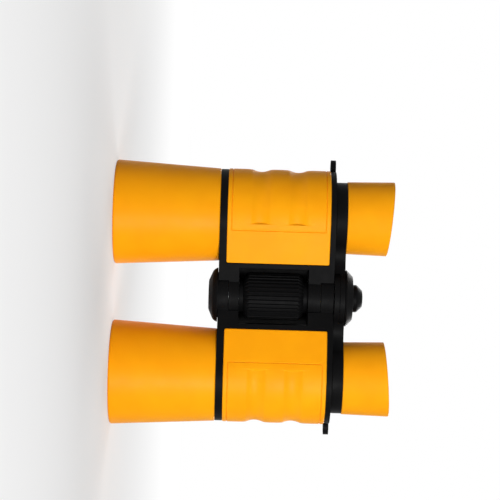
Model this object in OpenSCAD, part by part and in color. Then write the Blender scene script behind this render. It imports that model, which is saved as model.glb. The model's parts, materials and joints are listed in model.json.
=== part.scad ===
// Toy binoculars, standing on the rims of their objective barrels with the eyepieces up.
// The focusing wheel faces -Y, and the half at +X is the one before the user's left eye.
// Lengths are in millimetres and angles in degrees.

/* [Layout] */
// Distance between the two optical axes with the halves level
barrel_spacing = 60; // [58:0.5:68]
// Distance of the hinge axis in front of the optical axes
hinge_rise = 3; // [2:0.25:4]
// Largest fold between the two halves
fold_max = 50; // [20:5:60]
// Focusing travel of the eyepieces
focus_travel = 8; // [4:0.5:10]

/* [Body shells] */
// Room between the optical tube and the shells round it
tube_clear = 0.7; // [0.4:0.1:1.2]
// Thickness of the frame ring at the objective end
front_ring_t = 2.7; // [2:0.1:4]
// Thickness of the frame ring at the eyepiece end
rear_ring_t = 2; // [1.4:0.1:3]
// Wall thickness of the shells
shell_wall = 1.6; // [1.2:0.1:1.8]
// Slope of the web between barrel and hinge
web_slope = 18; // [15:1:20]
// Radius of the strap eye's ear
ear_r = 3.1; // [2.6:0.1:3.5]
// Radius of the strap eye's hole
ear_hole_r = 1.6; // [1:0.1:1.8]

/* [Grip panels] */
// Length of a grip panel along the barrel
panel_len = 38; // [36:0.2:46]
// Thickness of a grip panel
panel_t = 1.7; // [1.3:0.1:1.9]
// Height of a panel's face above the frame
panel_proud = 0.3; // [0.1:0.1:0.6]
// Distance from the hinge plane to a panel's edge on the wheel side
panel_front_edge = 12; // [11:0.25:14]
// Distance from the hinge plane to a panel's edge on the back
panel_back_edge = 18; // [17.5:0.25:20]
// Number of finger grooves in a panel
groove_count = 2; // [1:1:2]
// Distance between finger grooves
groove_pitch = 13.7; // [12:0.1:18]
// Width of a finger groove
groove_w = 6.2; // [4:0.2:8]
// Depth of a finger groove
groove_depth = 0.9; // [0.4:0.1:1]
// Width of the strip outside a panel's engraved line
border_w = 1.4; // [1.2:0.1:3]

/* [Objective barrels] */
// Length of an objective barrel in front of the frame
objective_len = 39.3; // [34:0.1:46]
// Radius of an objective barrel at its rim
objective_front_r = 19.5; // [19:0.1:22]
// Width of the rim round the objective lens
rim_w = 4.5; // [4.2:0.1:6]
// How far the foot of an objective barrel stands out from the frame
foot_proud = 0.15; // [0.05:0.05:0.5]
// Wall thickness of an objective barrel
objective_wall = 2; // [1.6:0.1:2.4]
// Depth of the lens ring behind the rim
recess_depth = 3.2; // [2:0.2:5]

/* [Eyepieces] */
// Outer radius of the sliding eyepiece tube
eye_tube_r = 11.8; // [11.2:0.1:12.2]
// Length of eyepiece tube left inside the barrel with the eyepieces out
eye_tube_grip = 18; // [14:0.5:22]
// Wall of the arm's ring round the eyepiece tube
neck_wall = 1.4; // [1:0.1:2]
// Thickness of the arm, with the seam below it
neck_t = 4.3; // [3.8:0.1:6]
// Radius of the hollow in each side of the arm, between its two rounds
arm_waist_r = 8; // [6:0.5:14]
// How far the foot of an eyecup stands out from the arm's ring
eyecup_proud = 0.3; // [0.1:0.1:0.6]
// How far an eyecup widens from its foot to its rim
eyecup_flare = 0.4; // [0:0.1:1]
// Length of an eyecup on its outer side
eyecup_len = 17.8; // [14:0.1:22]
// Slope of an eyecup's rim
eyecup_slant = 5; // [0:0.5:8]
// Distance from the outside of the eyepiece tube to the edge of its lens
eye_lens_inset = 3.3; // [3.2:0.1:4.5]

/* [Hinge and focusing] */
// Length of the hinge in front of the wheel bay
front_hinge_len = 7.6; // [6:0.2:8]
// Length of the hinge behind the wheel bay
rear_hinge_len = 9.4; // [8:0.2:11]
// Radius of the hinge knuckles
knuckle_r = 8.5; // [7.5:0.1:9]
// Radius and half width of the wheel bay
bay_r = 10.3; // [9.8:0.1:10.6]
// Radius over the ribs of the focusing wheel
wheel_r = 8.8; // [8:0.1:9.2]
// Distance from the ribs of the wheel to each end of its bay
wheel_inset = 1.8; // [1.2:0.05:3]
// Number of ribs on the wheel
rib_count = 34; // [20:1:40]
// Height of the ribs
rib_h = 0.6; // [0.3:0.1:0.9]
// Radius of the focusing spindle
spindle_r = 2.5; // [2:0.1:2.8]
// Radius of the hinge pin
pin_r = 3; // [2.4:0.1:3.4]
// Outer radius of the hinge bush
bush_r = 4.2; // [3.8:0.1:4.8]
// Radius of the hubs that stack on the spindle
hub_r = 9.9; // [9:0.1:10.4]
// Radius of the hub cap at its foot
hub_cap_r = 11; // [9:0.1:12]
// Length of the hub cap
hub_cap_t = 2.8; // [2:0.1:4]
// Radius of the domed nut
nut_r = 5.1; // [3.6:0.1:6]
// Length of the domed nut
nut_len = 3.9; // [2.8:0.1:5]

/* [Hidden] */
$fn = 96;
// How far a cutting shape runs past what it cuts
overrun = 1;
// Size that is larger than any outline of one half
reach = 2 * barrel_spacing;

// Clearances
fit_gap = 0.05;
run_gap = 0.06;
slide_gap = 0.1;
swing_gap = 0.4;
knuckle_gap = 0.15;
seam_gap = 0.3;
// How far the web's planes cut into the round they run off, so that they cross it
tangent_bite = 0.05;
// Fold angle left free on each side at the end of the fold
fold_spare = 1.5;

// Share of the nut's length that the spindle fills, and shares of its radius and length at its corners
nut_bore_share = 0.6;
nut_shoulder_share = 0.4;
nut_crown_shares = [0.62, 0.92];
// Shares of a rib's pitch and of its height at the corners of its profile
rib_shares = [[0, 0], [0.3, 0], [0.45, 1], [0.85, 1]];

// Places along the optical axes, from the rims up
axis_x = barrel_spacing / 2;
ring_z0 = objective_len;
panel_z0 = ring_z0 + front_ring_t;
panel_z1 = panel_z0 + panel_len;
seam_z = panel_z1 + rear_ring_t;
bay_z0 = ring_z0 + front_hinge_len;
bay_z1 = seam_z - rear_hinge_len;
arm_z0 = seam_z + seam_gap;
arm_z1 = seam_z + neck_t;
front_mid = (ring_z0 + bay_z0) / 2;
rear_mid = (bay_z1 + seam_z) / 2;
arm_mid = (arm_z0 + arm_z1) / 2;

// Radii that stack up inside a barrel
tube_wall = 1.5;
tube_bore_r = eye_tube_r + slide_gap;
tube_r = tube_bore_r + tube_wall;
cavity_r = tube_r + tube_clear;
seat_r = cavity_r + shell_wall;
panel_face_r = seat_r + panel_t;
frame_r = panel_face_r - panel_proud;
objective_rear_r = frame_r + foot_proud;

// Screws that hold the two shells of a half together
screw_count = 3;
screw_inset = 6;
screw_r = 1.25;
screw_len = 16;
screw_head_r = 2.3;
screw_head_t = 1.4;
screw_sink = 0.3;
screw_slot_w = 0.7;
boss_wall = 0.95;
boss_r = screw_r + boss_wall;
boss_x = (bay_r + axis_x - tube_r) / 2;
head_boss_r = screw_head_r + boss_wall;
screw_seat_y = web_y(frame_r, boss_x - screw_head_r) - screw_head_t - screw_sink;

// Strap eye on the frame ring
ear_reach = 1.9;
ear_turn = 12;

// Engraved line and grooves of the panels
line_w = 0.5;
line_depth = 0.3;
// The line along the web is a little deeper, so that its floor crosses the round line's
web_line_depth = 0.4;
groove_turn = 99;
groove_arc_r = (pow(groove_w / 2, 2) + pow(groove_depth, 2)) / (2 * groove_depth);

// Objective barrel, from the rim inwards
rim_round = 0.8;
foot_round = 0.6;
round_steps = 6;
lens_steps = 12;
rim_flare = 1;
lens_r = objective_front_r - rim_w;
lens_edge_t = 1.8;
lens_mid_t = 5;
lens_lip = 1;
ledge_t = 1.6;
ring_t = 3.2;
ring_lip = 1.8;
ring_step_t = 1.2;
ring_step_w = 1.3;
collar_len = 9;
ring_pocket_r = lens_r + ring_lip;
lens_z0 = recess_depth + ring_t;
ledge_z0 = lens_z0 + lens_edge_t;
ledge_z1 = ledge_z0 + ledge_t;
collar_z0 = objective_len - collar_len;

// Eyepiece, from the lens ledge up
stub_step = 0.8;
stub_len = 5;
stub_r = eye_tube_r - stub_step;
neck_r = eye_tube_r + neck_wall;
eyecup_r = neck_r + eyecup_proud;
eyecup_rim_r = eyecup_r + eyecup_flare;
eye_tube_wall = 1.3;
eye_lens_r = eye_tube_r - eye_lens_inset;
eye_lens_t = 3;
eye_lens_mid_t = 1.2;
eye_ledge_t = 1.4;
eye_lip = 0.9;
eye_ring_lip = 1.2;
eye_ring_t = 2.6;
eye_tube_z0 = seam_z - eye_tube_grip - focus_travel;
eye_stub_top = arm_z1 + stub_len;
eye_ring_z0 = eye_stub_top - eye_ring_t;
eye_lens_z0 = eye_ring_z0 - eye_lens_t;
eye_ledge_z0 = eye_lens_z0 - eye_ledge_t;
cup_wall = 1.8;
cup_lip = 1;

// Wheel and what turns on the hinge axis
wheel_z0 = bay_z0 + wheel_inset;
wheel_z1 = bay_z1 - wheel_inset;
wheel_chamfer = 1.8;
wheel_collar_r = 6;
thrust_gap = 0.15;
journal_len = 3;
spindle_clear = 3.35;
insert_wall = 2.2;
insert_cover = 0.8;
insert_r = spindle_r + insert_wall;
spindle_z0 = bay_z0 + journal_len + spindle_clear;
insert_z0 = spindle_z0 + focus_travel;
insert_z1 = bay_z1 - journal_len - thrust_gap - insert_cover;
insert_len = insert_z1 - insert_z0;
cap_len = 3.6;
cap_r = 10.2;
cap_knee_r = 9.35;
cap_knee_t = 1.9;
cap_tip_r = 5.4;
cap_foot_t = 0.3;
hub_cap_tip_r = 8.15;
hub_cap_z0 = arm_z1 + slide_gap;
nut_z0 = hub_cap_z0 + hub_cap_t;
spindle_z1 = nut_z0 + nut_len * nut_bore_share;

LEFT = 1;
RIGHT = -1;

// Distance of the web's plane from the plane of the axes, for the outline of radius r at distance x
function web_y(r, x) = (r - tangent_bite) / cos(web_slope) - (axis_x - x) * tan(web_slope);

// Heights of the hinge knuckles that a half carries, and of the room it leaves for the other half's
function own_spans(side) = side == LEFT
    ? [[ring_z0, front_mid - knuckle_gap / 2], [rear_mid + knuckle_gap / 2, seam_z]]
    : [[front_mid + knuckle_gap / 2, bay_z0], [bay_z1, rear_mid - knuckle_gap / 2]];
function other_spans(side) = side == LEFT
    ? [[front_mid - knuckle_gap / 2, bay_z0], [bay_z1, rear_mid + knuckle_gap / 2]]
    : [[ring_z0 - overrun, front_mid + knuckle_gap / 2], [rear_mid - knuckle_gap / 2, seam_z + overrun]];

// Heights of a half's hub on the spindle, and of the room it leaves for the other half's
function hub_span(side) = side == LEFT
    ? [arm_z0, arm_mid - slide_gap / 2]
    : [arm_mid + slide_gap / 2, arm_z1];
function other_hub_span(side) = side == LEFT
    ? [arm_mid - slide_gap / 2, arm_z1 + overrun]
    : [arm_z0 - overrun, arm_mid + slide_gap / 2];

// Points of an arc, to join into an outline
function arc(centre, r, from, to) = [
    for (i = [0 : round_steps])
        let (a = from + (to - from) * i / round_steps)
        centre + r * [cos(a), sin(a)]
];

// Heights of the screws in a half
function screw_z(i) = panel_z0 + screw_inset + i * (panel_len - 2 * screw_inset) / (screw_count - 1);

// Puts a half's piece, drawn at +X, on its own side
module on_side(side) {
    mirror([side == LEFT ? 0 : 1, 0, 0]) children();
}

// Extrudes an outline between two heights
module span(z) {
    translate([0, 0, z[0]])
        linear_extrude(height = z[1] - z[0])
            children();
}

module at_barrel() {
    translate([axis_x, 0]) children();
}

module at_hinge() {
    translate([0, -hinge_rise]) children();
}

// Round tube between two heights
module sleeve(outer_r, bore_r, z) {
    span(z) difference() {
        circle(outer_r);
        circle(bore_r);
    }
}

// One half between two heights: the round of the barrel with the web running off it to the hinge plane
module half_block(r, z) {
    run_r = r - tangent_bite;
    foot = [axis_x - run_r * sin(web_slope), run_r * cos(web_slope)];
    span(z) at_barrel() circle(r);
    span(z) polygon([[foot[0], -foot[1]], [0, -web_y(r, 0)], [0, web_y(r, 0)], foot]);
}

// Room behind the hinge that the other half swings through
module fold_room() {
    lean = fold_max / 2 + fold_spare;
    at_hinge() polygon([[0, 0], [reach * tan(lean), reach], [-reach, reach], [-reach, 0]]);
}

// Bay of the wheel, open to the wheel side
module wheel_bay() {
    at_hinge() {
        circle(bay_r);
        translate([-bay_r, -reach]) square([2 * bay_r, reach]);
    }
}

// A panel's cover between two radii, out to its edges, with a gap all round it
module panel_block(outer_r, inner_r, gap) {
    z = [panel_z0 - gap, panel_z1 + gap];
    difference() {
        half_block(outer_r, z);
        half_block(inner_r, [z[0] - overrun, z[1] + overrun]);
        span([z[0] - overrun, z[1] + overrun]) polygon([
            [-overrun, -reach], [panel_front_edge - gap, -reach], [panel_front_edge - gap, 0],
            [panel_back_edge - gap, 0], [panel_back_edge - gap, reach], [-overrun, reach]
        ]);
    }
}

// Solid posts in the cavity of a half, round its screws
module bosses() {
    for (i = [0 : screw_count - 1])
        translate([boss_x, 0, screw_z(i)]) rotate([90, 0, 0]) {
            cylinder(r = boss_r, h = reach, center = true);
            translate([0, 0, -reach - screw_seat_y + shell_wall]) cylinder(r = head_boss_r, h = reach);
        }
}

module cavity() {
    difference() {
        half_block(cavity_r, [panel_z0, panel_z1]);
        span([panel_z0 - overrun, panel_z1 + overrun])
            translate([-overrun, -reach]) square([bay_r + shell_wall + overrun, 2 * reach]);
        bosses();
    }
}

// Holes for the screws, with room for the heads
module screw_holes() {
    for (i = [0 : screw_count - 1])
        translate([boss_x, screw_seat_y, screw_z(i)]) {
            rotate([90, 0, 0])
                translate([0, 0, -overrun])
                    cylinder(r = screw_r + fit_gap, h = screw_len + 2 * overrun);
            rotate([-90, 0, 0]) cylinder(r = screw_head_r + fit_gap, h = reach);
        }
}

// Both shells of a half in one, without knuckles or strap eye
module shell_block(side) {
    difference() {
        half_block(frame_r, [ring_z0, seam_z]);
        span([ring_z0 - overrun, seam_z + overrun]) fold_room();
        span([ring_z0 - overrun, seam_z + overrun]) at_barrel() circle(tube_r + fit_gap);
        span([bay_z0, bay_z1]) wheel_bay();
        for (z = other_spans(side))
            span(z) at_hinge() circle(knuckle_r + swing_gap);
        panel_block(panel_face_r + overrun, seat_r, fit_gap);
        cavity();
        screw_holes();
    }
}

module front_shell(side) {
    color("#17171a") on_side(side) difference() {
        union() {
            intersection() {
                shell_block(side);
                translate([-reach, -2 * reach, 0]) cube(2 * reach);
            }
            for (z = own_spans(side))
                span(z) at_hinge() circle(knuckle_r);
        }
        at_hinge() translate([0, 0, ring_z0 - overrun])
            cylinder(r = pin_r + run_gap, h = bay_z0 - ring_z0 + 2 * overrun);
        at_hinge() translate([0, 0, bay_z1 - overrun])
            cylinder(r = bush_r + run_gap, h = seam_z - bay_z1 + 2 * overrun);
    }
}

module back_shell(side) {
    ear_at = (frame_r + ear_reach) * [cos(ear_turn), sin(ear_turn)];
    color("#17171a") on_side(side) difference() {
        union() {
            intersection() {
                shell_block(side);
                translate([-reach, 0, 0]) cube(2 * reach);
            }
            span([panel_z1 + fit_gap, seam_z]) at_barrel() translate(ear_at) circle(ear_r);
        }
        for (z = own_spans(side))
            translate([0, 0, z[0] - overrun])
                at_hinge() cylinder(r = knuckle_r + fit_gap, h = z[1] - z[0] + 2 * overrun);
        span([panel_z1 - overrun, seam_z + overrun]) at_barrel() translate(ear_at) circle(ear_hole_r);
    }
}

module shell_screws(side) {
    color("#8d8d92") on_side(side)
        for (i = [0 : screw_count - 1])
            translate([boss_x, screw_seat_y, screw_z(i)]) {
                rotate([90, 0, 0]) cylinder(r = screw_r, h = screw_len);
                difference() {
                    rotate([-90, 0, 0]) cylinder(r = screw_head_r, h = screw_head_t);
                    for (turn = [0, 90])
                        translate([0, screw_head_t, 0]) rotate([0, turn, 0])
                            cube([screw_head_r, screw_head_t, screw_slot_w], center = true);
                }
            }
}

// Finger grooves and engraved lines of a panel
module panel_cuts() {
    line_turn = 90 + web_slope;
    panel_mid = (panel_z0 + panel_z1) / 2;
    for (i = [0 : groove_count - 1])
        translate([0, 0, panel_mid + (i - (groove_count - 1) / 2) * groove_pitch])
            rotate_extrude(angle = 2 * groove_turn, start = -groove_turn)
                translate([panel_face_r + groove_arc_r - groove_depth, 0]) circle(groove_arc_r);
    for (z = [panel_z0 + border_w, panel_z1 - border_w - line_w])
        translate([0, 0, z])
            rotate_extrude(angle = 2 * line_turn, start = -line_turn)
                translate([panel_face_r - line_depth, 0]) square([overrun, line_w]);
    for (turn = [-line_turn, line_turn])
        rotate([0, 0, turn])
            translate([panel_face_r - web_line_depth, -line_w / 2, panel_z0 + border_w + line_w / 2])
                cube([overrun, line_w, panel_len - 2 * border_w - line_w]);
}

module grip_panel(side) {
    color("#f5b01a") on_side(side) difference() {
        panel_block(panel_face_r, seat_r + fit_gap, 0);
        at_barrel() panel_cuts();
    }
}

module optical_tube(side) {
    color("#1d1d20") on_side(side) at_barrel() sleeve(tube_r, tube_bore_r, [collar_z0, seam_z]);
}

module objective_barrel(side) {
    rise = objective_len - foot_round - rim_round;
    fall = (objective_front_r - objective_rear_r) / rise;
    inner_front = objective_front_r - fall * (ledge_z1 - rim_round) - objective_wall;
    inner_rear = objective_front_r - fall * (collar_z0 - rim_round) - objective_wall;
    color("#f5b01a") on_side(side) at_barrel() rotate_extrude() polygon(concat(
        arc([objective_front_r - rim_round, rim_round], rim_round, -90, 0),
        arc([objective_rear_r - foot_round, objective_len - foot_round], foot_round, 0, 90),
        [
            [tube_r + fit_gap, objective_len],
            [tube_r + fit_gap, collar_z0],
            [inner_rear, collar_z0],
            [inner_front, ledge_z1],
            [lens_r - lens_lip, ledge_z1],
            [lens_r - lens_lip, ledge_z0],
            [lens_r + fit_gap, ledge_z0],
            [lens_r + fit_gap, lens_z0],
            [ring_pocket_r + fit_gap, lens_z0],
            [ring_pocket_r + fit_gap, recess_depth],
            [ring_pocket_r + rim_flare, 0]
        ]
    ));
}

// Points of a lens face from its edge, of radius r at height z, to its middle, h higher
function lens_face(r, z, h) = [
    for (i = [0 : lens_steps])
        let (x = r * (1 - i / lens_steps), face_r = (r * r + h * h) / (2 * abs(h)))
        [x, z + sign(h) * (sqrt(face_r * face_r - x * x) - face_r + abs(h))]
];

// Points of an outline, in the other order
function backwards(points) = [for (i = [len(points) - 1 : -1 : 0]) points[i]];

// Half section of a lens with a flat edge as wide as the lip, its faces raised by h or sunk by -h
function lens_section(r, lip, z, h) = concat(
    [[r, z[1]]], lens_face(r - lip, z[1], h), backwards(lens_face(r - lip, z[0], -h)), [[r, z[0]]]
);

module objective_lens(side) {
    bulge = (lens_mid_t - lens_edge_t) / 2;
    color("#cfe0e6") on_side(side) at_barrel()
        rotate_extrude() polygon(lens_section(lens_r, lens_lip, [lens_z0, ledge_z0], bulge));
}

module objective_ring(side) {
    color("#1d1d20") on_side(side) at_barrel() rotate_extrude() polygon([
        [ring_pocket_r, lens_z0],
        [ring_pocket_r, recess_depth],
        [lens_r - lens_lip + ring_step_w, recess_depth],
        [lens_r - lens_lip + ring_step_w, recess_depth + ring_step_t],
        [lens_r - lens_lip, recess_depth + ring_step_t],
        [lens_r - lens_lip, lens_z0]
    ]);
}

// Plate from the eyepiece to the hinge axis, drawn in on both sides between its two rounds
module arm_outline() {
    gap = [-axis_x, -hinge_rise];
    far = neck_r + arm_waist_r;
    near = hub_r + arm_waist_r;
    turn = atan2(gap[1], gap[0]);
    open = acos((far * far + gap * gap - near * near) / (2 * far * norm(gap)));
    hollows = [for (a = [turn - open, turn + open]) [axis_x, 0] + far * [cos(a), sin(a)]];
    at_barrel() circle(neck_r);
    difference() {
        polygon([[axis_x, 0], hollows[0], [0, -hinge_rise], hollows[1]]);
        for (hollow = hollows)
            translate(hollow) circle(arm_waist_r + tangent_bite);
    }
}

module eyepiece_arm(side) {
    spindle_gap = side == LEFT ? fit_gap : run_gap;
    color("#17171a") on_side(side) difference() {
        union() {
            difference() {
                span([arm_z0, arm_z1]) difference() {
                    arm_outline();
                    fold_room();
                    translate([-reach, -reach]) square([reach, 2 * reach]);
                }
                span(other_hub_span(side)) at_hinge() circle(hub_r + swing_gap);
            }
            span(hub_span(side)) at_hinge() circle(hub_r);
        }
        span([arm_z0 - overrun, arm_z1 + overrun]) at_hinge() circle(spindle_r + spindle_gap);
        span([arm_z0 - overrun, arm_z1 + overrun]) at_barrel() circle(eye_tube_r + fit_gap);
    }
}

module eyepiece_tube(side) {
    bore_r = eye_tube_r - eye_tube_wall;
    color("#1d1d20") on_side(side) at_barrel() rotate_extrude() polygon([
        [bore_r, eye_tube_z0],
        [eye_tube_r, eye_tube_z0],
        [eye_tube_r, arm_z1],
        [stub_r, arm_z1],
        [stub_r, eye_stub_top],
        [eye_lens_r + eye_ring_lip + fit_gap, eye_stub_top],
        [eye_lens_r + eye_ring_lip + fit_gap, eye_ring_z0],
        [eye_lens_r + fit_gap, eye_ring_z0],
        [eye_lens_r + fit_gap, eye_lens_z0],
        [eye_lens_r - eye_lip, eye_lens_z0],
        [eye_lens_r - eye_lip, eye_ledge_z0],
        [bore_r, eye_ledge_z0]
    ]);
}

module eyepiece_lens(side) {
    hollow = (eye_lens_t - eye_lens_mid_t) / 2;
    color("#cfe0e6") on_side(side) at_barrel()
        rotate_extrude() polygon(lens_section(eye_lens_r, eye_lip, [eye_lens_z0, eye_ring_z0], -hollow));
}

module eyepiece_ring(side) {
    color("#1d1d20") on_side(side) at_barrel() rotate_extrude() polygon([
        [eye_lens_r - eye_lip, eye_ring_z0],
        [eye_lens_r + eye_ring_lip, eye_ring_z0],
        [eye_lens_r + eye_ring_lip, eye_stub_top],
        [eye_lens_r, eye_stub_top]
    ]);
}

module eyecup(side) {
    rim_z = arm_z1 + eyecup_len;
    color("#f5b01a") on_side(side) at_barrel() difference() {
        rotate_extrude() polygon([
            [stub_r + fit_gap, arm_z1],
            [eyecup_r, arm_z1],
            [eyecup_rim_r, rim_z],
            [eyecup_rim_r - cup_lip, rim_z],
            [eyecup_r - cup_wall, eye_stub_top],
            [stub_r + fit_gap, eye_stub_top]
        ]);
        translate([eyecup_rim_r, 0, rim_z]) rotate([0, -eyecup_slant, 0])
            translate([-reach, -reach, 0]) cube(2 * reach);
    }
}

module hinge_pin() {
    color("#b9bbc0") at_hinge() translate([0, 0, ring_z0 - cap_len / 2])
        cylinder(r = pin_r, h = bay_z0 + journal_len - ring_z0 + cap_len / 2);
}

module hinge_cap() {
    color("#17171a") at_hinge() rotate_extrude() polygon([
        [0, ring_z0 - cap_len],
        [cap_tip_r, ring_z0 - cap_len],
        [cap_knee_r, ring_z0 - cap_knee_t],
        [cap_r, ring_z0 - cap_foot_t],
        [knuckle_r, ring_z0 - cap_foot_t],
        [knuckle_r, ring_z0],
        [pin_r + fit_gap, ring_z0],
        [pin_r + fit_gap, ring_z0 - cap_len / 2],
        [0, ring_z0 - cap_len / 2]
    ]);
}

module hinge_bush() {
    color("#c9a24a") at_hinge() sleeve(bush_r, spindle_r + run_gap, [bay_z1 - journal_len, seam_z]);
}

// Outline of the wheel across its ribs
module rib_outline() {
    pitch = 360 / rib_count;
    polygon([
        for (i = [0 : rib_count - 1], share = rib_shares)
            let (a = (i + share[0]) * pitch, r = wheel_r - rib_h * (1 - share[1]))
            r * [cos(a), sin(a)]
    ]);
}

module focus_wheel() {
    z0 = bay_z0 + thrust_gap;
    z1 = bay_z1 - thrust_gap;
    color("#17171a") at_hinge() difference() {
        union() {
            intersection() {
                span([wheel_z0, wheel_z1]) rib_outline();
                rotate_extrude() polygon([
                    [0, wheel_z0], [wheel_r - wheel_chamfer, wheel_z0], [wheel_r, wheel_z0 + wheel_chamfer],
                    [wheel_r, wheel_z1 - wheel_chamfer], [wheel_r - wheel_chamfer, wheel_z1], [0, wheel_z1]
                ]);
            }
            span([z0, z1]) circle(wheel_collar_r);
        }
        translate([0, 0, z0 - overrun]) cylinder(r = pin_r + run_gap, h = z1 - z0 + 2 * overrun);
        translate([0, 0, bay_z1 - journal_len - thrust_gap])
            cylinder(r = bush_r + run_gap, h = journal_len + overrun);
        translate([0, 0, insert_z0 - fit_gap])
            cylinder(r = insert_r + fit_gap, h = insert_len + 2 * fit_gap);
    }
}

module wheel_insert() {
    color("#c9a24a") at_hinge()
        sleeve(insert_r, spindle_r + run_gap, [insert_z0, insert_z1]);
}

module focus_spindle() {
    color("#b9bbc0") at_hinge() translate([0, 0, spindle_z0])
        cylinder(r = spindle_r, h = spindle_z1 - spindle_z0);
}

module hub_cap() {
    color("#17171a") at_hinge() rotate_extrude() polygon([
        [spindle_r + fit_gap, hub_cap_z0],
        [hub_cap_r, hub_cap_z0],
        [hub_cap_tip_r, nut_z0],
        [spindle_r + fit_gap, nut_z0]
    ]);
}

module domed_nut() {
    color("#17171a") at_hinge() rotate_extrude() polygon([
        [spindle_r + fit_gap, nut_z0],
        [nut_r, nut_z0],
        [nut_r, nut_z0 + nut_len * nut_shoulder_share],
        [nut_r * nut_crown_shares[0], nut_z0 + nut_len * nut_crown_shares[1]],
        [0, nut_z0 + nut_len],
        [0, spindle_z1 + fit_gap],
        [spindle_r + fit_gap, spindle_z1 + fit_gap]
    ]);
}

front_shell(LEFT);  // left_front_shell
back_shell(LEFT);  // left_back_shell
shell_screws(LEFT);  // left_shell_screws
grip_panel(LEFT);  // left_grip_panel
optical_tube(LEFT);  // left_optical_tube
objective_barrel(LEFT);  // left_objective_barrel
objective_lens(LEFT);  // left_objective_lens
objective_ring(LEFT);  // left_objective_ring
eyepiece_arm(LEFT);  // left_eyepiece_arm
eyepiece_tube(LEFT);  // left_eyepiece_tube
eyepiece_lens(LEFT);  // left_eyepiece_lens
eyepiece_ring(LEFT);  // left_eyepiece_ring
eyecup(LEFT);  // left_eyecup
front_shell(RIGHT);  // right_front_shell
back_shell(RIGHT);  // right_back_shell
shell_screws(RIGHT);  // right_shell_screws
grip_panel(RIGHT);  // right_grip_panel
optical_tube(RIGHT);  // right_optical_tube
objective_barrel(RIGHT);  // right_objective_barrel
objective_lens(RIGHT);  // right_objective_lens
objective_ring(RIGHT);  // right_objective_ring
eyepiece_arm(RIGHT);  // right_eyepiece_arm
eyepiece_tube(RIGHT);  // right_eyepiece_tube
eyepiece_lens(RIGHT);  // right_eyepiece_lens
eyepiece_ring(RIGHT);  // right_eyepiece_ring
eyecup(RIGHT);  // right_eyecup
hinge_pin();
hinge_cap();
hinge_bush();
focus_wheel();
wheel_insert();
focus_spindle();
hub_cap();
domed_nut();
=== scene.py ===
"""Looks of a pair of toy binoculars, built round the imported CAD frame.

The frame stands on its objective rims: +Z runs along the optical axes to the eyepieces, and -Y is the side
of the focusing wheel. Sizes are in millimetres and angles in degrees here, and meshes are made in metres.
"""
import json
import math

import bmesh
import bpy
import numpy as np
from mathutils import Matrix, Vector

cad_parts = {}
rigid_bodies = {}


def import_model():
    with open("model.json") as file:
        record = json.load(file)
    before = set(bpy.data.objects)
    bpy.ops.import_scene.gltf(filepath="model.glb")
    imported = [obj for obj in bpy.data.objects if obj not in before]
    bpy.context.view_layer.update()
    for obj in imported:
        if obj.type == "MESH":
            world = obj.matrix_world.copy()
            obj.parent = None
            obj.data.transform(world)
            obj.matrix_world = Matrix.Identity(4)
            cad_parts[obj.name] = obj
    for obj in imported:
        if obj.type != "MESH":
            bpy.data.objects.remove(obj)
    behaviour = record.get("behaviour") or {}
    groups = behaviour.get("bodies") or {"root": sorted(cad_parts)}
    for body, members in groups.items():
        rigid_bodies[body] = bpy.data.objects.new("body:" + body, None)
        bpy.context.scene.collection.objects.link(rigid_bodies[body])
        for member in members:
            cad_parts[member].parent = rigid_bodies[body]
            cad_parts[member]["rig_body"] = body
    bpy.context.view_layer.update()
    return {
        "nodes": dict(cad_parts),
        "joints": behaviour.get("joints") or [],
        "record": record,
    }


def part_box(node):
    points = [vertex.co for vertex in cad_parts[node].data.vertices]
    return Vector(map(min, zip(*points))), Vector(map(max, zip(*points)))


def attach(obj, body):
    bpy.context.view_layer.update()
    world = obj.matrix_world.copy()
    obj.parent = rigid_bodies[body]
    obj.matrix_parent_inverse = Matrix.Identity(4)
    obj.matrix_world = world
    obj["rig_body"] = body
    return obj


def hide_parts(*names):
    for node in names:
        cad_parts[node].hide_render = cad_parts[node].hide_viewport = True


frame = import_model()
MM = 0.001
SIDES = {"left": 1, "right": -1}

# Mesh fineness
SEGMENTS = 144
FILLET_STEPS = 5
SHARP_ANGLE = 38
MERGE = 1e-8

# Grip panel, after the part's source, with the softer edges and groove ends that moulding gives
WEB_SLOPE = 18
PANEL_T = 1.7
PANEL_BACK_EDGE = 18
PANEL_SEAT_GAP = 0.05
PANEL_EDGE_ROUND = 0.45
PANEL_CORNER_R = 0.7
GROOVE_COUNT = 2
GROOVE_PITCH = 13.7
GROOVE_W = 6.2
GROOVE_DEPTH = 0.9
GROOVE_TURN = 102
GROOVE_END_SLOPE = 1.6
GROOVE_BLEND = 0.08
GROOVE_SIDE_BLEND = 0.5
LINE_INSET = 1.65
LINE_PAST = 0.6
LINE_W = 0.5
LINE_DEPTH = 0.35
LINE_CORNER_R = 0.5

# Grid of the panel's face, with the reach and step of the closer lines round each of its features
GRID_STEP = 0.9
GRID_CLOSEST = 0.04
EDGE_GRID = (0.55, 0.09)
LINE_GRID = (0.42, 0.07)
GROOVE_END_GRID = (1.0, 0.12)
GROOVE_SIDE_GRID = (0.4, 0.1)
GROOVE_GRID_STEP = 0.45

# Objective barrel
RIM_ROUND = 0.8
FOOT_ROUND = 0.6
FOOT_PROUD = 0.15
OBJECTIVE_WALL = 2
RIM_FLARE = 1
RIM_STEPS = 4
RIM_STEP_DROP = 0.2
LENS_LIP = 1
LENS_EDGE_T = 1.8
LENS_ROWS = 16
LEDGE_T = 1.6
RING_STEP_T = 1.2
RING_STEP_W = 1.3
FIT_GAP = 0.05
TINY_ROUND = 0.15
SMALL_ROUND = 0.35

# Eyepiece
EYECUP_SLANT = 5
EYECUP_FLARE = 0.4
CUP_WALL = 1.8
CUP_LIP = 1
CUP_RIM_ROUND = 0.3
STUB_STEP = 0.8
EYE_LIP = 0.9
EYE_LENS_MID_T = 1.2
EYE_RING_BEVEL = 1.2
EYE_RING_STEPS = 4

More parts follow.
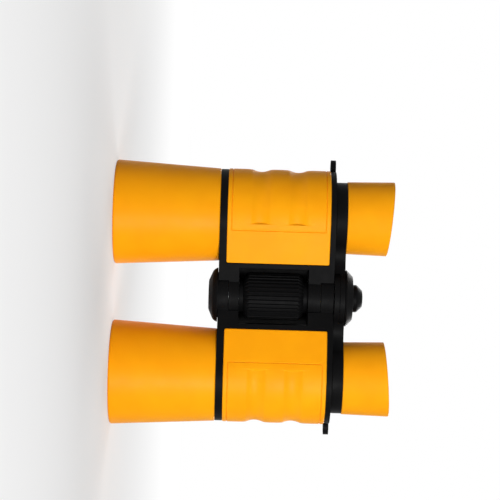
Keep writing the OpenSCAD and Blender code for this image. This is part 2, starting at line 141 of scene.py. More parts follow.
# Wheel, spindle and the caps on the hinge axis
RIB_COUNT = 34
RIB_H = 0.6
RIB_COLUMNS = 12
RIB_SHARES = [0, 0.22, 0.46, 0.84, 1]
RIB_HEIGHT_SHARES = [0, 0, 1, 1, 0]
WHEEL_INSET = 1.8
WHEEL_CHAMFER = 1.8
WHEEL_ROUND = 0.8
WHEEL_COLLAR_R = 6
THRUST_GAP = 0.15
THRUST_SHOWN = 0.05
WHEEL_BORE_R = 3.06
THREAD_PITCH = 6.4
THREAD_STARTS = 4
THREAD_DEPTH = 0.28
THREAD_STEEPNESS = 0.9
THREAD_ROW = 0.2
SPINDLE_CHAMFER = 0.6
CAP_TIP_R = 5.4
CAP_KNEE_R = 9.35
CAP_KNEE_T = 1.9
CAP_FOOT_T = 0.3
KNUCKLE_R = 8.5
HUB_CAP_TIP_R = 8.15
HUB_CAP_ROUND = 0.3
CAP_ROUND = 0.5
CAP_KNEE_ROUND = 2.5
NUT_DOME_ROWS = 8
NUT_SHOULDER_SHARE = 0.4
NUT_CROWN_SHARES = (0.62, 0.92)
NUT_ROUND = 1

# Screws
SCREW_HEAD_R = 2.3
SCREW_HEAD_T = 1.4
SCREW_R = 1.25
SCREW_CROWN = 0.35
CROSS_LEN = 1.35
CROSS_W = 0.62
CROSS_DEPTH = 0.75
CROSS_SOFT = 0.12
SCREW_ROWS = 26

# Edges of the carried-over solids
WELD = 0.002
FLAT_ANGLE = 1.0
BEVEL_ANGLE = 32
SHELL_BEVEL = 0.3
ARM_BEVEL = 0.3
INNER_BEVEL = 0.15
BEVEL_SEGMENTS = 3

# Camera, as far as the photograph tells: it looks at the wheel side with the eyepieces to the right
FRAME_PX = 500
PIXEL = 0.375
CAMERA_DISTANCE = 680
SENSOR = 36
ROLL = 1.7
AIM = (-17.0, 0, 50.6)

# Light and stage
KEY_AT = (340, -860, 200)
KEY_SIZE = 380
KEY_POWER = 8.1
FILL_AT = (-700, -300, 620)
FILL_SIZE = 700
FILL_POWER = 0.25
RIM_AT = (330, 900, 480)
RIM_SIZE = 600
RIM_POWER = 5.5
LAMP_AIM = (0, 0, 55)
SKY_LIGHT = 0.09
FLOOR_R = 4000
FLOOR_RINGS = (0, 400, 1200)
FLOOR_FADE = (0.12, 0.75)
FLOOR_WHITE = (0.45, 1.0)
FLOOR_ROUGHNESS = 0.9
FLOOR_GLOSS = 0.1

# Colours, linear
YELLOW = (0.95, 0.372, 0.004, 1)
YELLOW_DEEP = (0.92, 0.345, 0.0035, 1)
YELLOW_PALE = (0.97, 0.46, 0.02, 1)
RUBBER = (0.94, 0.368, 0.004, 1)
RUBBER_DEEP = (0.90, 0.338, 0.0035, 1)
BLACK = (0.0042, 0.0042, 0.0044, 1)
BLACK_DEEP = (0.003, 0.003, 0.0032, 1)
BLACK_PALE = (0.009, 0.009, 0.0093, 1)
INNER = (0.004, 0.004, 0.0043, 1)
INNER_PALE = (0.009, 0.009, 0.0095, 1)
STEEL = (0.56, 0.56, 0.58, 1)
STEEL_DARK = (0.40, 0.40, 0.42, 1)
BRASS = (0.70, 0.47, 0.16, 1)
BRASS_DARK = (0.52, 0.33, 0.10, 1)
GLASS = (0.93, 0.97, 1.0, 1)
GLASS_EDGE = (0.86, 0.93, 0.97, 1)
FLOOR = (0.80, 0.80, 0.80, 1)
WHITE = (1, 1, 1, 1)

# Finish of each plastic: roughness, gloss, waves of its grain to the metre and depth of its grain
YELLOW_FINISH = (0.42, 0.06, 6000, 0.006)
RUBBER_FINISH = (0.58, 0.05, 5200, 0.012)
BLACK_FINISH = (0.48, 0.034, 3600, 0.012)
INNER_FINISH = (0.6, 0.038, 5000, 0.008)
PLASTIC_IOR = 1.5
BLOOM_WEIGHT = 0.02
BLOOM_ROUGHNESS = 0.5

# Detail of the plastics: each noise is its waves to the metre and its octaves, each span the part in use
TONE_NOISE = (70, 3)
TONE_SPAN = (0.35, 0.65)
RUB_NOISE = (900, 3)
RUB_SPAN = (0.4, 0.65)
RUB_SHARES = (0.15, 0.75)
RUB_WIDTH = 0.45
RUB_COSINES = (0.985, 0.88)
RUB_SAMPLES = 4
SHINE_NOISE = (260, 4)
SHINE_SPAN = (0.3, 0.7)
SHINE_DRIFT = 0.05
SINK_NOISE = (120, 1)
SINK_DEPTH = 0.02
GRAIN_DETAIL = 2

# Detail of the metals and the lenses, in the same terms
STEEL_ROUGHNESS = 0.32
BRASS_ROUGHNESS = 0.3
PLATING_NOISE = (420, 4)
PLATING_SPAN = (0.35, 0.7)
DULL_NOISE = (1500, 3)
DULL_SPAN = (0.3, 0.7)
DULL_DRIFT = (0.08, 0.1)
TOOL_NOISE = (900, 2)
TOOL_STRETCH = (1, 1, 9)
TOOL_DEPTH = 0.008
FLOW_NOISE = (160, 2)
FLOW_SPAN = (0.3, 0.7)
DUST_NOISE = (2600, 4)
DUST_SPAN = (0.62, 0.8)
DUST_ROUGHNESS = (0.015, 0.12)
LENS_IOR = 1.49
LENS_COAT = 0.3
LENS_COAT_ROUGHNESS = 0.03


def box_mm(node):
    """Lowest and highest corner of a CAD node, in millimetres."""
    low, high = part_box(node)
    return np.array(low) / MM, np.array(high) / MM


def radius_of(node):
    """Half the width of a round CAD node."""
    low, high = box_mm(node)
    return (high[0] - low[0]) / 2


def heights_of(node):
    """Lowest and highest point of a CAD node."""
    low, high = box_mm(node)
    return low[2], high[2]


AXIS_X = sum(corner[0] for corner in box_mm("left_objective_barrel")) / 2
HINGE_Y = frame["joints"][0]["pos_m"][1] / MM
FRAME_R = -box_mm("left_front_shell")[0][1]
SLOTS = {part["node"]: part["material_slot"] for part in frame["record"]["subparts"]}


def barrel_axis(side):
    return np.array([SIDES[side] * AXIS_X, 0, 0])


def hinge_axis():
    return np.array([0, HINGE_Y, 0])


def soft_min(a, b, blend):
    return (a + b - np.sqrt((a - b) ** 2 + blend ** 2)) / 2


def smooth(share):
    share = np.clip(share, 0, 1)
    return share * share * (3 - 2 * share)


def unit(vector):
    return vector / np.linalg.norm(vector)


def corner_arc(before, corner, after, radius):
    """Points that round one corner of an outline, with the radius held to what its two edges can take."""
    u, v = before - corner, after - corner
    room = min(np.linalg.norm(u), np.linalg.norm(v)) / 2
    u, v = unit(u), unit(v)
    half = math.acos(np.clip(u @ v, -1, 1)) / 2
    cut = min(radius / math.tan(half), room)
    centre = corner + unit(u + v) * cut / math.cos(half)
    start, stop = corner + u * cut - centre, corner + v * cut - centre
    shares = np.linspace(0, 1, FILLET_STEPS + 1)
    reach = np.linalg.norm(start)
    turned = [unit(start * (1 - t) + stop * t) * reach for t in smooth(shares)]
    return [centre + step for step in turned]


def filleted(corners, closed=True):
    """Outline through corners of (r, z, rounding)."""
    points = [np.array(corner[:2], float) for corner in corners]
    count = len(points)
    outline = []
    for i, corner in enumerate(corners):
        ends_here = not closed and i in (0, count - 1)
        if ends_here or corner[2] == 0:
            outline.append(points[i])
        else:
            outline += corner_arc(points[i - 1], points[i], points[(i + 1) % count], corner[2])
    return np.array(outline)


def revolve(outline, segments=SEGMENTS):
    """An outline of (r, z) turned about z: one row of points for each point of the outline."""
    angle = np.linspace(0, 2 * math.pi, segments, endpoint=False)
    r, z = np.array(outline, float).T
    grid = np.empty((len(r), segments, 3))
    grid[..., 0] = np.outer(r, np.cos(angle))
    grid[..., 1] = np.outer(r, np.sin(angle))
    grid[..., 2] = z[:, None]
    return grid


def round_faces(rows, columns, closed, first=0):
    """Quads over a grid of points whose columns go all the way round, and its rows too where closed."""
    faces = []
    for row in range(rows if closed else rows - 1):
        below, above = row * columns, (row + 1) % rows * columns
        for column in range(columns):
            beside = (column + 1) % columns
            faces.append((below + column, below + beside, above + beside, above + column))
    return [tuple(first + index for index in face) for face in faces]


def make_object(name, points, faces):
    """A smooth-shaded object from points in millimetres, with poles merged and its faces turned outwards."""
    mesh = bpy.data.meshes.new(name)
    mesh.from_pydata((np.asarray(points) * MM).tolist(), [], faces)
    work = bmesh.new()
    work.from_mesh(mesh)
    bmesh.ops.remove_doubles(work, verts=work.verts, dist=MERGE)
    bmesh.ops.recalc_face_normals(work, faces=work.faces)
    work.to_mesh(mesh)
    work.free()
    mesh.shade_smooth()
    mesh.set_sharp_from_angle(angle=math.radians(SHARP_ANGLE))
    made = bpy.data.objects.new(name, mesh)
    bpy.context.scene.collection.objects.link(made)
    normals = made.modifiers.new("normals", "WEIGHTED_NORMAL")
    normals.keep_sharp = True
    return made


def skin(name, grids, closed=True):
    """One object from grids of points that go all the way round."""
    points, faces = [], []
    for grid in grids:
        rows, columns = grid.shape[:2]
        faces += round_faces(rows, columns, closed, len(points))
        points += grid.reshape(-1, 3).tolist()
    return make_object(name, points, faces)


def turned(name, corners, axis, closed=True):
    """A turned piece about an axis, from the corners of its half section."""
    return skin(name, [revolve(filleted(corners, closed)) + axis], closed)


def slab(name, outer, inner):
    """A sheet with thickness, from two grids of points that lie over each other."""
    rows, columns = outer.shape[:2]
    index = np.arange(rows * columns).reshape(rows, columns)
    under = index + rows * columns
    faces = []
    for row in range(rows - 1):
        for column in range(columns - 1):
            quad = (row, column), (row, column + 1), (row + 1, column + 1), (row + 1, column)
            faces.append(tuple(int(index[place]) for place in quad))
            faces.append(tuple(int(under[place]) for place in reversed(quad)))
    border = [(0, c) for c in range(columns)] + [(r, columns - 1) for r in range(1, rows)]
    border += [(rows - 1, c) for c in range(columns - 2, -1, -1)] + [(r, 0) for r in range(rows - 2, 0, -1)]
    for here, there in zip(border, border[1:] + border[:1]):
        faces.append((int(index[there]), int(index[here]), int(under[here]), int(under[there])))
    return make_object(name, np.concatenate([outer.reshape(-1, 3), inner.reshape(-1, 3)]), faces)


def paint(piece, material):
    piece.data.materials.clear()
    piece.data.materials.append(material)


def stand_for(piece, node):
    """Puts a piece in the place of a CAD node: on its body, with the node hidden, and with the finish that
    the node's material slot names.
    """
    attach(piece, frame["nodes"][node]["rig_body"])
    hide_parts(node)
    paint(piece, MATERIALS[SLOTS[node]])


def soften(node, width):
    """Keeps a CAD node and rounds its edges as a mould does."""
    piece = frame["nodes"][node]
    weld = piece.modifiers.new("weld", "WELD")
    weld.merge_threshold = WELD * MM
    flat = piece.modifiers.new("flat", "DECIMATE")
    flat.decimate_type = "DISSOLVE"
    flat.angle_limit = math.radians(FLAT_ANGLE)
    bevel = piece.modifiers.new("bevel", "BEVEL")
    bevel.width = width * MM
    bevel.segments = BEVEL_SEGMENTS
    bevel.limit_method = "ANGLE"
    bevel.angle_limit = math.radians(BEVEL_ANGLE)
    bevel.miter_outer = "MITER_ARC"
    normals = piece.modifiers.new("normals", "WEIGHTED_NORMAL")
    normals.keep_sharp = True
    paint(piece, MATERIALS[SLOTS[node]])


def add_node(tree, kind, values=None, **settings):
    made = tree.nodes.new(kind)
    for name, value in settings.items():
        setattr(made, name, value)
    for socket, value in (values or {}).items():
        made.inputs[socket].default_value = value
    return made


def blank(name):
    """A new material, its node tree and its shader."""
    material = bpy.data.materials.new(name)
    material.use_nodes = True
    return material, material.node_tree, material.node_tree.nodes["Principled BSDF"]


def noise(tree, waves, detail, stretch=(1, 1, 1)):
    """Noise in the piece's own coordinates, so many waves to the metre."""
    coords = add_node(tree, "ShaderNodeTexCoord")
    mapping = add_node(tree, "ShaderNodeMapping", {"Scale": stretch})
    made = add_node(tree, "ShaderNodeTexNoise", {"Scale": waves, "Detail": detail})
    tree.links.new(coords.outputs["Object"], mapping.inputs["Vector"])
    tree.links.new(mapping.outputs["Vector"], made.inputs["Vector"])
    return made.outputs["Fac"]


def ranged(tree, value, before, after):
    made = add_node(tree, "ShaderNodeMapRange", {
        "From Min": before[0], "From Max": before[1], "To Min": after[0], "To Max": after[1],
    })
    tree.links.new(value, made.inputs["Value"])
    return made.outputs["Result"]


def times(tree, first, second):
    made = add_node(tree, "ShaderNodeMath", operation="MULTIPLY")
    tree.links.new(first, made.inputs[0])
    tree.links.new(second, made.inputs[1])
    return made.outputs["Value"]


def blend(tree, share, first, second):
    """Mixes two colours, each a constant or an output, by an output."""
    made = add_node(tree, "ShaderNodeMix", data_type="RGBA")
    sockets = [s for s in made.inputs if s.type == "RGBA"]
    for socket, colour in zip(sockets, (first, second)):
        if isinstance(colour, tuple):
            socket.default_value = colour
        else:
            tree.links.new(colour, socket)
    tree.links.new(share, made.inputs["Factor"])
    return next(s for s in made.outputs if s.type == "RGBA")


def edges(tree, width):
    """1 on edges that a hand rubs, 0 on flats."""
    bevel = add_node(tree, "ShaderNodeBevel", {"Radius": width * MM}, samples=RUB_SAMPLES)
    geometry = add_node(tree, "ShaderNodeNewGeometry")
    dot = add_node(tree, "ShaderNodeVectorMath", operation="DOT_PRODUCT")
    tree.links.new(bevel.outputs["Normal"], dot.inputs[0])
    tree.links.new(geometry.outputs["Normal"], dot.inputs[1])
    return ranged(tree, dot.outputs["Value"], RUB_COSINES, (0, 1))


def bump(tree, height, depth, under=None):
    made = add_node(tree, "ShaderNodeBump", {"Distance": depth * MM})
    tree.links.new(height, made.inputs["Height"])
    if under is not None:
        tree.links.new(under, made.inputs["Normal"])
    return made.outputs["Normal"]


def moulded(name, tones, finish):
    """Moulded plastic: a slow drift of tone, fine grain, and edges that handling has rubbed."""
    body, deep, pale = tones
    roughness, gloss, grain, grain_depth = finish
    material, tree, shader = blank(name)
    drift = ranged(tree, noise(tree, *TONE_NOISE), TONE_SPAN, (0, 1))
    wear = ranged(tree, noise(tree, *RUB_NOISE), RUB_SPAN, RUB_SHARES)
    rubbed = times(tree, edges(tree, RUB_WIDTH), wear)
    colour = blend(tree, rubbed, blend(tree, drift, body, deep), pale)
    tree.links.new(colour, shader.inputs["Base Color"])
    rough_span = (roughness - SHINE_DRIFT, roughness + SHINE_DRIFT)
    rough = ranged(tree, noise(tree, *SHINE_NOISE), SHINE_SPAN, rough_span)
    tree.links.new(rough, shader.inputs["Roughness"])
    sunk = bump(tree, noise(tree, *SINK_NOISE), SINK_DEPTH)
    grained = bump(tree, noise(tree, grain, GRAIN_DETAIL), grain_depth, sunk)
    tree.links.new(grained, shader.inputs["Normal"])
    shader.inputs["IOR"].default_value = PLASTIC_IOR
    shader.inputs["Specular IOR Level"].default_value = gloss
    return material


def rubbery(name, tones, finish):
    """Soft rubber: matt, with a faint bloom and a fine tooth."""
    material = moulded(name, tones, finish)
    shader = material.node_tree.nodes["Principled BSDF"]
    shader.inputs["Sheen Weight"].default_value = BLOOM_WEIGHT
    shader.inputs["Sheen Roughness"].default_value = BLOOM_ROUGHNESS
    return material


def turned_metal(name, tones, roughness):
    """Turned metal: rings of tool marks and dull patches of plating."""
    bright, dark = tones
    material, tree, shader = blank(name)
    patches = ranged(tree, noise(tree, *PLATING_NOISE), PLATING_SPAN, (0, 1))
    tree.links.new(blend(tree, patches, bright, dark), shader.inputs["Base Color"])
    rough_span = (roughness - DULL_DRIFT[0], roughness + DULL_DRIFT[1])
    rough = ranged(tree, noise(tree, *DULL_NOISE), DULL_SPAN, rough_span)
    tree.links.new(rough, shader.inputs["Roughness"])
    marks = noise(tree, *TOOL_NOISE, TOOL_STRETCH)
    tree.links.new(bump(tree, marks, TOOL_DEPTH), shader.inputs["Normal"])
    shader.inputs["Metallic"].default_value = 1
    return material


def clear_lens(name):
    """Clear moulded lens with a trace of dust."""
    material, tree, shader = blank(name)
    flow = ranged(tree, noise(tree, *FLOW_NOISE), FLOW_SPAN, (0, 1))
    tree.links.new(blend(tree, flow, GLASS, GLASS_EDGE), shader.inputs["Base Color"])
    dust = ranged(tree, noise(tree, *DUST_NOISE), DUST_SPAN, DUST_ROUGHNESS)
    tree.links.new(dust, shader.inputs["Roughness"])
    shader.inputs["Transmission Weight"].default_value = 1
    shader.inputs["IOR"].default_value = LENS_IOR
    shader.inputs["Coat Weight"].default_value = LENS_COAT
    shader.inputs["Coat Roughness"].default_value = LENS_COAT_ROUGHNESS
    return material


MATERIALS = {
    "yellow_plastic": moulded("yellow_plastic", (YELLOW, YELLOW_DEEP, YELLOW_PALE), YELLOW_FINISH),
    "yellow_rubber": rubbery("yellow_rubber", (RUBBER, RUBBER_DEEP, YELLOW_PALE), RUBBER_FINISH),
    "black_plastic": moulded("black_plastic", (BLACK, BLACK_DEEP, BLACK_PALE), BLACK_FINISH),
    "black_inner": moulded("black_inner", (INNER, BLACK_DEEP, INNER_PALE), INNER_FINISH),
    "lens": clear_lens("lens"),
    "steel": turned_metal("steel", (STEEL, STEEL_DARK), STEEL_ROUGHNESS),
    "brass": turned_metal("brass", (BRASS, BRASS_DARK), BRASS_ROUGHNESS),
}


def graded(start, stop, spots):
    """Places from start to stop, a step apart, and closer within each spot of (centre, reach, step)."""
    places = [np.linspace(start, stop, round((stop - start) / GRID_STEP) + 1)]
    for centre, reach, step in spots:
        places.append(np.linspace(centre - reach, centre + reach, 2 * round(reach / step) + 1))
    places = np.unique(np.clip(np.concatenate(places), start, stop))
    far = np.concatenate([[True], np.diff(places) > GRID_CLOSEST])
    places = places[far]
    places[-1] = stop
    return places


class PanelSurface:
    """The face of a grip panel, unrolled.

    s runs from its edge on the wheel side round to the back, and z along the part.
    """

    def __init__(self):
        low, high = box_mm("left_grip_panel")
        self.z0, self.z1 = low[2], high[2]
        self.r = high[0] - AXIS_X
        slope = math.radians(WEB_SLOPE)
        self.lean = np.array([math.sin(slope), math.cos(slope)])
        foot_x = AXIS_X - self.r * self.lean[0]
        self.front_run = (foot_x - low[0]) / self.lean[1]
        self.back_run = (foot_x - PANEL_BACK_EDGE) / self.lean[1]
        self.half_turn = math.radians(90 + WEB_SLOPE)
        self.arc = 2 * self.half_turn * self.r
        self.length = self.front_run + self.arc + self.back_run
        self.middle = self.front_run + self.arc / 2
        self.groove_end = math.radians(GROOVE_TURN) * self.r

    def groove_heights(self):
        middle = (self.z0 + self.z1) / 2
        return [middle + (i - (GROOVE_COUNT - 1) / 2) * GROOVE_PITCH for i in range(GROOVE_COUNT)]

    def places(self):
        """Grid lines along s and z, close together where the face turns."""
        line_ends = [self.front_run - LINE_PAST, self.front_run + self.arc + LINE_PAST]
        groove_ends = [self.middle - self.groove_end, self.middle + self.groove_end]
        along_s = [(0, *EDGE_GRID), (self.length, *EDGE_GRID)]
        along_s += [(end, *LINE_GRID) for end in line_ends]
        along_s += [(end, *GROOVE_END_GRID) for end in groove_ends]
        along_z = [(self.z0, *EDGE_GRID), (self.z1, *EDGE_GRID)]
        along_z += [(z, *LINE_GRID) for z in (self.z0 + LINE_INSET, self.z1 - LINE_INSET)]
        for z in self.groove_heights():
            along_z.append((z, GROOVE_W / 2, GROOVE_GRID_STEP))
            along_z += [(z + half, *GROOVE_SIDE_GRID) for half in (-GROOVE_W / 2, GROOVE_W / 2)]
        return graded(0, self.length, along_s), graded(self.z0, self.z1, along_z)

    def rounded_corners(self, s, z):
        """Pulls the grid's four corners in to a round, and gives each place's distance from the edge."""
        centre_s = np.clip(s, PANEL_CORNER_R, self.length - PANEL_CORNER_R)
        centre_z = np.clip(z, self.z0 + PANEL_CORNER_R, self.z1 - PANEL_CORNER_R)
        off_s, off_z = s - centre_s, z - centre_z
        off = np.hypot(off_s, off_z)
        pull = np.where(off > PANEL_CORNER_R, PANEL_CORNER_R / np.maximum(off, GRID_CLOSEST), 1)
        inside = np.minimum.reduce([s, self.length - s, z - self.z0, self.z1 - z])
        near = np.where(off > 0, PANEL_CORNER_R - off * pull, inside)
        return centre_s + off_s * pull, centre_z + off_z * pull, near

    def edge_drop(self, near):
        into = np.clip(PANEL_EDGE_ROUND - near, 0, PANEL_EDGE_ROUND)
        return PANEL_EDGE_ROUND - np.sqrt(PANEL_EDGE_ROUND ** 2 - into ** 2)

    def groove_drop(self, s, z):
        """Finger grooves: scoops of round section with soft sides that end in a steep wall."""
        scoop_r = ((GROOVE_W / 2) ** 2 + GROOVE_DEPTH ** 2) / (2 * GROOVE_DEPTH)
        wall = GROOVE_END_SLOPE * (self.groove_end - np.abs(s - self.middle))
        drop = np.zeros_like(s)
        for middle in self.groove_heights():
            round_drop = np.sqrt(np.maximum(scoop_r ** 2 - (z - middle) ** 2, 0)) - scoop_r + GROOVE_DEPTH
            scoop = (round_drop + np.sqrt(round_drop ** 2 + GROOVE_SIDE_BLEND ** 2)) / 2
            drop += np.maximum(soft_min(scoop, wall, GROOVE_BLEND), 0)
        return drop

    def line_drop(self, s, z):
        """Engraved line round the gripping part of the face."""
        half_s = self.arc / 2 + LINE_PAST - LINE_CORNER_R
        half_z = (self.z1 - self.z0) / 2 - LINE_INSET - LINE_CORNER_R
        out_s = np.abs(s - self.middle) - half_s
        out_z = np.abs(z - (self.z0 + self.z1) / 2) - half_z
        outside = np.hypot(np.maximum(out_s, 0), np.maximum(out_z, 0))
        away = np.abs(outside + np.minimum(np.maximum(out_s, out_z), 0) - LINE_CORNER_R)
        return LINE_DEPTH * (1 + np.cos(math.pi * np.clip(away / (LINE_W / 2), 0, 1))) / 2

    def points(self, s, z, drop):
        """Points below the face by drop, on the half at +X."""
        sine, cosine = self.lean
        turn = np.clip((s - self.middle) / self.r, -self.half_turn, self.half_turn)
        run = np.where(s < self.middle, np.maximum(self.front_run - s, 0),
                       np.maximum(s - self.front_run - self.arc, 0))
        x = AXIS_X + (self.r - drop) * np.cos(turn) - run * cosine
        y = (self.r - drop) * np.sin(turn) - np.sign(s - self.middle) * run * sine
        return np.stack([x, y, z], axis=-1)


def grip_panel(side):
    surface = PanelSurface()
    s, z = np.meshgrid(*surface.places())
    s, z, near = surface.rounded_corners(s, z)
    drop = surface.edge_drop(near) + surface.groove_drop(s, z) + surface.line_drop(s, z)
    outer = surface.points(s, z, drop)
    inner = surface.points(s, z, np.full_like(s, PANEL_T - PANEL_SEAT_GAP))
    flip = np.array([SIDES[side], 1, 1])
    stand_for(slab(f"{side}_grip", outer * flip, inner * flip), f"{side}_grip_panel")


def objective_barrel(side):
    node = f"{side}_objective_barrel"
    z0, z1 = heights_of(node)
    front_r, rear_r = radius_of(node), FRAME_R + FOOT_PROUD
    tube_r = radius_of(f"{side}_optical_tube") + FIT_GAP
    collar_z = heights_of(f"{side}_optical_tube")[0]
    ring_z0, lens_z0 = heights_of(f"{side}_objective_ring")
    pocket_r = radius_of(f"{side}_objective_ring") + FIT_GAP
    lens_r = radius_of(f"{side}_objective_lens")
    ledge_z0, ledge_z1 = lens_z0 + LENS_EDGE_T, lens_z0 + LENS_EDGE_T + LEDGE_T
    fall = (front_r - rear_r) / (z1 - z0)
    mouth_r = pocket_r + RIM_FLARE
    corners = [(front_r, z0, RIM_ROUND), (rear_r, z1, FOOT_ROUND), (tube_r, z1, TINY_ROUND)]
    corners += [(tube_r, collar_z, SMALL_ROUND), (front_r - fall * collar_z - OBJECTIVE_WALL, collar_z, 0)]
    corners += [(front_r - fall * ledge_z1 - OBJECTIVE_WALL, ledge_z1, 0), (lens_r - LENS_LIP, ledge_z1, 0)]
    corners += [(lens_r - LENS_LIP, ledge_z0, 0), (lens_r + FIT_GAP, ledge_z0, 0)]
    corners += [(lens_r + FIT_GAP, lens_z0, 0), (pocket_r, lens_z0, 0)]
    for i in range(RIM_STEPS):
        share = i / RIM_STEPS
        step_r, step_z = pocket_r + RIM_FLARE * share, ring_z0 * (1 - share)
        corners += [(step_r, step_z, TINY_ROUND), (step_r + RIM_STEP_DROP, step_z, TINY_ROUND)]
    corners.append((mouth_r, z0, SMALL_ROUND))
    stand_for(turned(f"{side}_hood", corners, barrel_axis(side)), node)


def lens_face(edge_r, edge_z, middle_z):
    """Points of a spherical lens face from its edge to its middle."""
    rise = middle_z - edge_z
    ball_r = (edge_r ** 2 + rise ** 2) / (2 * abs(rise))
    r = np.linspace(edge_r, 0, LENS_ROWS)
    bulge = [math.sqrt(ball_r ** 2 - x ** 2) - ball_r + abs(rise) for x in r]
    return [(x, edge_z + math.copysign(height, rise)) for x, height in zip(r, bulge)]


def lens(name, node, side, edge, middle, lip):
    """A lens with spherical faces inside a flat lip, from its heights at the edge and in the middle."""
    r = radius_of(node)
    lower = lens_face(r - lip, edge[0], middle[0])[::-1]
    upper = lens_face(r - lip, edge[1], middle[1])
    outline = lower + [(r, edge[0]), (r, edge[1])] + upper
    stand_for(skin(name, [revolve(outline) + barrel_axis(side)], closed=False), node)


def objective_lens(side):
    node = f"{side}_objective_lens"
    z0, z1 = heights_of(node)
    rim_z = heights_of(f"{side}_objective_ring")[1]
    lens(f"{side}_front_lens", node, side, (rim_z, rim_z + LENS_EDGE_T), (z0, z1), LENS_LIP)


def eyepiece_lens(side):
    node = f"{side}_eyepiece_lens"
    z0, z1 = heights_of(node)
    middle = (z0 + z1) / 2
    hollow = (middle - EYE_LENS_MID_T / 2, middle + EYE_LENS_MID_T / 2)
    lens(f"{side}_eye_lens", node, side, (z0, z1), hollow, EYE_LIP)


def objective_ring(side):
    node = f"{side}_objective_ring"
    z0, z1 = heights_of(node)
    r, bore_r = radius_of(node), radius_of(f"{side}_objective_lens") - LENS_LIP
    step_r, step_z = bore_r + RING_STEP_W, z0 + RING_STEP_T
    corners = [(r, z1, TINY_ROUND), (r, z0, TINY_ROUND), (step_r, z0, TINY_ROUND)]
    corners += [(step_r, step_z, TINY_ROUND), (bore_r, step_z, TINY_ROUND), (bore_r, z1, TINY_ROUND)]
    stand_for(turned(f"{side}_lens_ring", corners, barrel_axis(side)), node)


def eyepiece_ring(side):
    """Ring on the eyepiece lens, stepped down to it so that it throws no glare."""
    node = f"{side}_eyepiece_ring"
    z0, z1 = heights_of(node)
    r, foot_r = radius_of(node), radius_of(f"{side}_eyepiece_lens") - EYE_LIP
    top_r = r - EYE_RING_BEVEL
    corners = [(foot_r, z0, 0), (r, z0, TINY_ROUND), (r, z1, TINY_ROUND)]
    for i in range(EYE_RING_STEPS):
        share = i / EYE_RING_STEPS
        step_z, next_z = z1 + (z0 - z1) * share, z1 + (z0 - z1) * (share + 1 / EYE_RING_STEPS)
        step_r = top_r + (foot_r - top_r) * share
        corners += [(step_r, step_z, TINY_ROUND / 2), (step_r, next_z, TINY_ROUND / 2)]
    stand_for(turned(f"{side}_eye_ring", corners, barrel_axis(side)), node)


def eyecup(side):
    """Soft cup whose rim slopes down towards the nose."""
    node = f"{side}_eyecup"
    z0, z1 = heights_of(node)
    rim_r = radius_of(node)
    foot_r = rim_r - EYECUP_FLARE
    stub_r = radius_of(f"{side}_eyepiece_tube") - STUB_STEP + FIT_GAP
    floor_z = heights_of(f"{side}_eyepiece_tube")[1]
    outline = filleted([
        (stub_r, z0, TINY_ROUND), (foot_r, z0, SMALL_ROUND), (rim_r, z1, CUP_RIM_ROUND),
        (rim_r - CUP_LIP, z1, CUP_RIM_ROUND), (foot_r - CUP_WALL, floor_z, SMALL_ROUND),
        (stub_r, floor_z, TINY_ROUND),
    ])
    grid = revolve(outline)
    share = np.clip((grid[..., 2] - floor_z) / (z1 - floor_z), 0, 1)
    inwards = rim_r - SIDES[side] * grid[..., 0]
    grid[..., 2] -= share * inwards * math.tan(math.radians(EYECUP_SLANT))
    stand_for(skin(f"{side}_cup", [grid + barrel_axis(side)]), node)


def focus_wheel():
    node = "focus_wheel"
    z0, z1 = heights_of(node)
    r = radius_of(node)
    z0, z1 = z0 - THRUST_GAP, z1 + THRUST_GAP
    rib_z0, rib_z1 = z0 + WHEEL_INSET, z1 - WHEEL_INSET
    z0, z1 = z0 + THRUST_SHOWN, z1 - THRUST_SHOWN
    neck_r = r - WHEEL_CHAMFER
    outline = filleted([
        (WHEEL_BORE_R, z0, TINY_ROUND), (WHEEL_COLLAR_R, z0, TINY_ROUND),
        (WHEEL_COLLAR_R, rib_z0, TINY_ROUND), (neck_r, rib_z0, WHEEL_ROUND),
        (r, rib_z0 + WHEEL_CHAMFER, WHEEL_ROUND), (r, rib_z1 - WHEEL_CHAMFER, WHEEL_ROUND),
        (neck_r, rib_z1, WHEEL_ROUND), (WHEEL_COLLAR_R, rib_z1, TINY_ROUND),
        (WHEEL_COLLAR_R, z1, TINY_ROUND), (WHEEL_BORE_R, z1, TINY_ROUND),
    ])
    grid = revolve(outline, RIB_COUNT * RIB_COLUMNS)
    turn = np.arange(RIB_COUNT * RIB_COLUMNS) / RIB_COLUMNS % 1
    height = smooth(np.interp(turn, RIB_SHARES, RIB_HEIGHT_SHARES))
    limit = r - RIB_H * (1 - height)
    here = np.hypot(grid[..., 0], grid[..., 1])
    grid[..., :2] *= (np.minimum(here, limit) / here)[..., None]
    stand_for(skin("wheel_ribbed", [grid + hinge_axis()]), node)


def focus_spindle():
    """Screw of several starts, which turns the wheel's turns into the eyepieces' travel."""
    node = "focus_spindle"
    z0, z1 = heights_of(node)
    r = radius_of(node)
    rows = np.linspace(z0, z1, round((z1 - z0) / THREAD_ROW) + 1)
    ends = np.minimum(rows - z0, z1 - rows)
    outline = [(0, z0)] + [(r - max(SPINDLE_CHAMFER - end, 0), z) for z, end in zip(rows, ends)] + [(0, z1)]
    grid = revolve(outline)
    angle = np.arctan2(grid[..., 1], grid[..., 0]) / (2 * math.pi)
    wave = np.cos(2 * math.pi * THREAD_STARTS * (grid[..., 2] / THREAD_PITCH - angle))
    groove = THREAD_DEPTH * smooth(0.5 - THREAD_STEEPNESS * wave)
    here = np.hypot(grid[..., 0], grid[..., 1])
    keep = np.where(here > THREAD_DEPTH, (here - groove) / np.maximum(here, THREAD_DEPTH), 1)
    grid[..., :2] *= keep[..., None]
    stand_for(skin("spindle_screw", [grid + hinge_axis()], closed=False), node)


